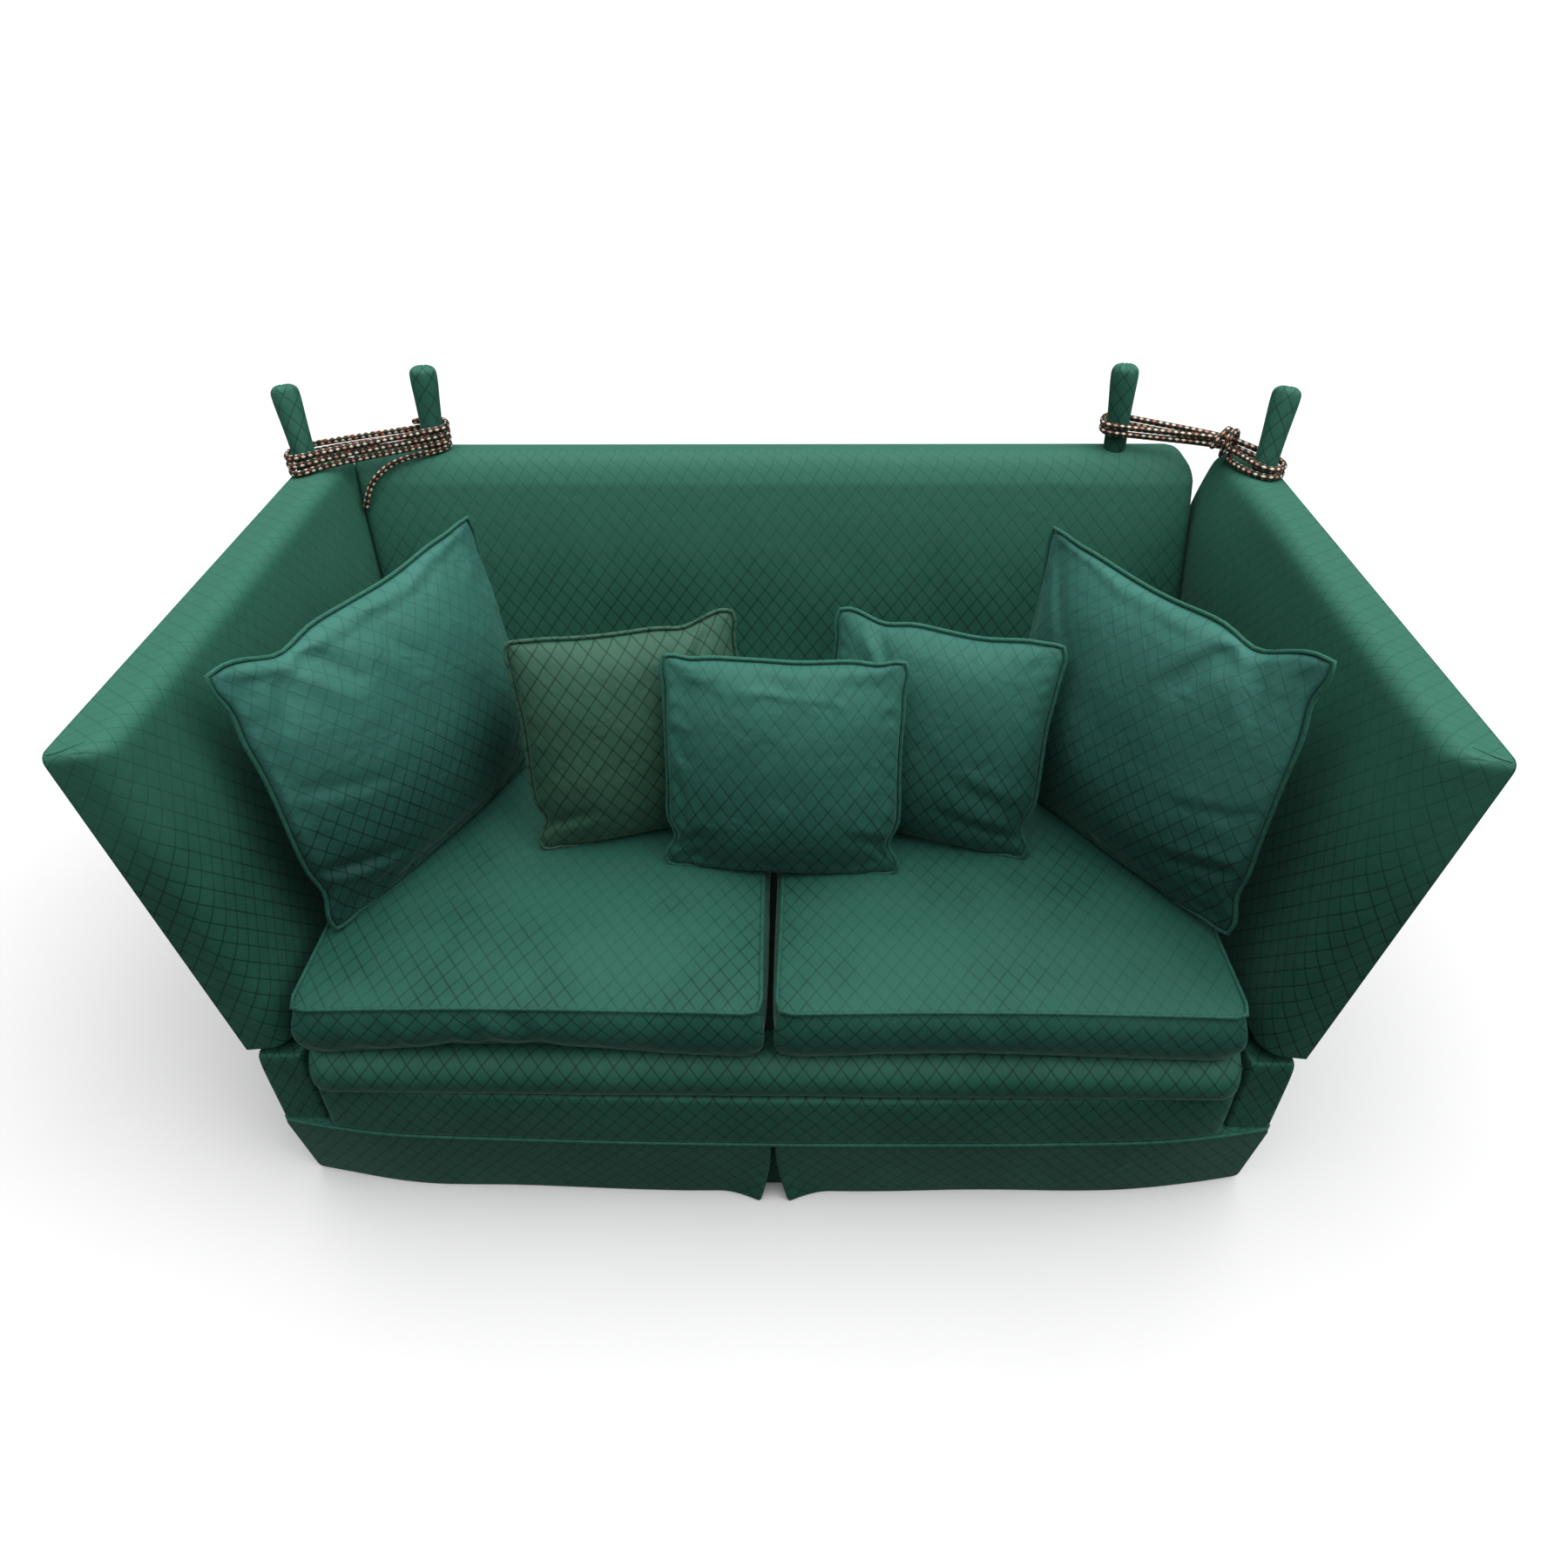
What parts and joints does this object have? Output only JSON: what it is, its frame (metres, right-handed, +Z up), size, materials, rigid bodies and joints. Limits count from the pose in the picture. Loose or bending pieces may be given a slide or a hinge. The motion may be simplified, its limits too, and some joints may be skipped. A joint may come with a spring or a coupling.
{
  "type": "sofa",
  "caption": "Knole sofa: low box base with a pleated skirt, fixed raked back and tall drop arms on hinges, held up by ropes lashed round covered pegs, with loose cushions",
  "frame": {"origin": "on the floor under the middle of the sofa", "axes": "+X to the sofa's right-hand end as the picture shows it, +Y to the back, +Z up"},
  "size_m": [1.9186, 1.0943, 1.1461],
  "materials": {
    "upholstery": "green satin-woven cloth with a thin dark diamond lattice, over padding",
    "cushions": "the same green cloth over a soft filling, self-piped",
    "piping": "cord covered in the green cloth",
    "rope": "braided rope, near-black green with cream and rust flecks",
    "timber": "unfinished hardwood frame timber",
    "legs": "dark stained wood",
    "steel": "plain steel",
    "webbing": "woven jute webbing",
    "deck": "plain dark lining over a padded platform",
    "dust_cover": "black lining cloth"
  },
  "bodies": {
    "sofa": {"front_rail": "timber", "back_rail": "timber", "left_side_rail": "timber", "right_side_rail": "timber", "seat_stretchers": "timber", "corner_blocks": "timber", "legs": "legs", "glides": "steel", "dust_cover": "dust_cover", "left_stump_cover": "upholstery", "right_stump_cover": "upholstery", "seat_webbing": "webbing", "seat_deck": "deck", "front_border": "upholstery", "front_roll": "upholstery", "skirt_welt": "piping", "skirt_front_left": "upholstery", "skirt_front_right": "upholstery", "skirt_pleat": "upholstery", "skirt_sides": "upholstery", "skirt_back": "upholstery", "corner_pleats": "upholstery", "left_back_peg": "upholstery", "right_back_peg": "upholstery", "back_posts": "timber", "back_top_rail": "timber", "back_bottom_rail": "timber", "back_uprights": "timber", "back_webbing": "webbing", "inside_back": "upholstery", "outside_back": "upholstery", "left_hinge_base_leaves": "steel", "right_hinge_base_leaves": "steel", "left_hinge_pins": "steel", "right_hinge_pins": "steel", "left_rope": "rope", "right_rope": "rope"},
    "left_arm": {"left_arm_posts": "timber", "left_arm_top_rail": "timber", "left_arm_bottom_rails": "timber", "left_arm_webbing": "webbing", "left_arm_pad": "upholstery", "left_arm_panel": "upholstery", "left_arm_peg": "upholstery", "left_hinge_arm_leaves": "steel"},
    "right_arm": {"right_arm_posts": "timber", "right_arm_top_rail": "timber", "right_arm_bottom_rails": "timber", "right_arm_webbing": "webbing", "right_arm_pad": "upholstery", "right_arm_panel": "upholstery", "right_arm_peg": "upholstery", "right_hinge_arm_leaves": "steel"},
    "left_seat_cushion_body": {"left_seat_cushion": "cushions"},
    "right_seat_cushion_body": {"right_seat_cushion": "cushions"},
    "right_large_cushion_body": {"right_large_cushion": "cushions"},
    "right_small_cushion_body": {"right_small_cushion": "cushions"},
    "left_large_cushion_body": {"left_large_cushion": "cushions"},
    "left_small_cushion_body": {"left_small_cushion": "cushions"},
    "middle_small_cushion_body": {"middle_small_cushion": "cushions"}
  },
  "joints": [
    {"name": "left_arm_hinge", "type": "hinge", "parent": "sofa", "child": "left_arm", "pos_m": [-0.846, 0, 0.3685], "axis": [0, -1, 0], "range_deg": [0, 82.1], "deforming": ["left_rope"]},
    {"name": "right_arm_hinge", "type": "hinge", "parent": "sofa", "child": "right_arm", "pos_m": [0.846, 0, 0.3685], "axis": [0, 1, 0], "range_deg": [0, 80.7], "deforming": ["right_rope"]},
    {"name": "left_seat_cushion_slide", "type": "slide", "parent": "sofa", "child": "left_seat_cushion_body", "axis": [0, -1, 0], "range_m": [0, 0.5]},
    {"name": "right_seat_cushion_slide", "type": "slide", "parent": "sofa", "child": "right_seat_cushion_body", "axis": [0, -1, 0], "range_m": [0, 0.5]},
    {"name": "right_large_cushion_lift", "type": "slide", "parent": "sofa", "child": "right_large_cushion_body", "axis": [0, 0, 1], "range_m": [0, 0.4]},
    {"name": "right_small_cushion_lift", "type": "slide", "parent": "right_large_cushion_body", "child": "right_small_cushion_body", "axis": [0, 0, 1], "range_m": [0, 0.4]},
    {"name": "left_large_cushion_lift", "type": "slide", "parent": "right_small_cushion_body", "child": "left_large_cushion_body", "axis": [0, 0, 1], "range_m": [0, 0.4]},
    {"name": "left_small_cushion_lift", "type": "slide", "parent": "left_large_cushion_body", "child": "left_small_cushion_body", "axis": [0, 0, 1], "range_m": [0, 0.4]},
    {"name": "middle_small_cushion_lift", "type": "slide", "parent": "left_small_cushion_body", "child": "middle_small_cushion_body", "axis": [0, 0, 1], "range_m": [0, 0.4]}
  ]
}
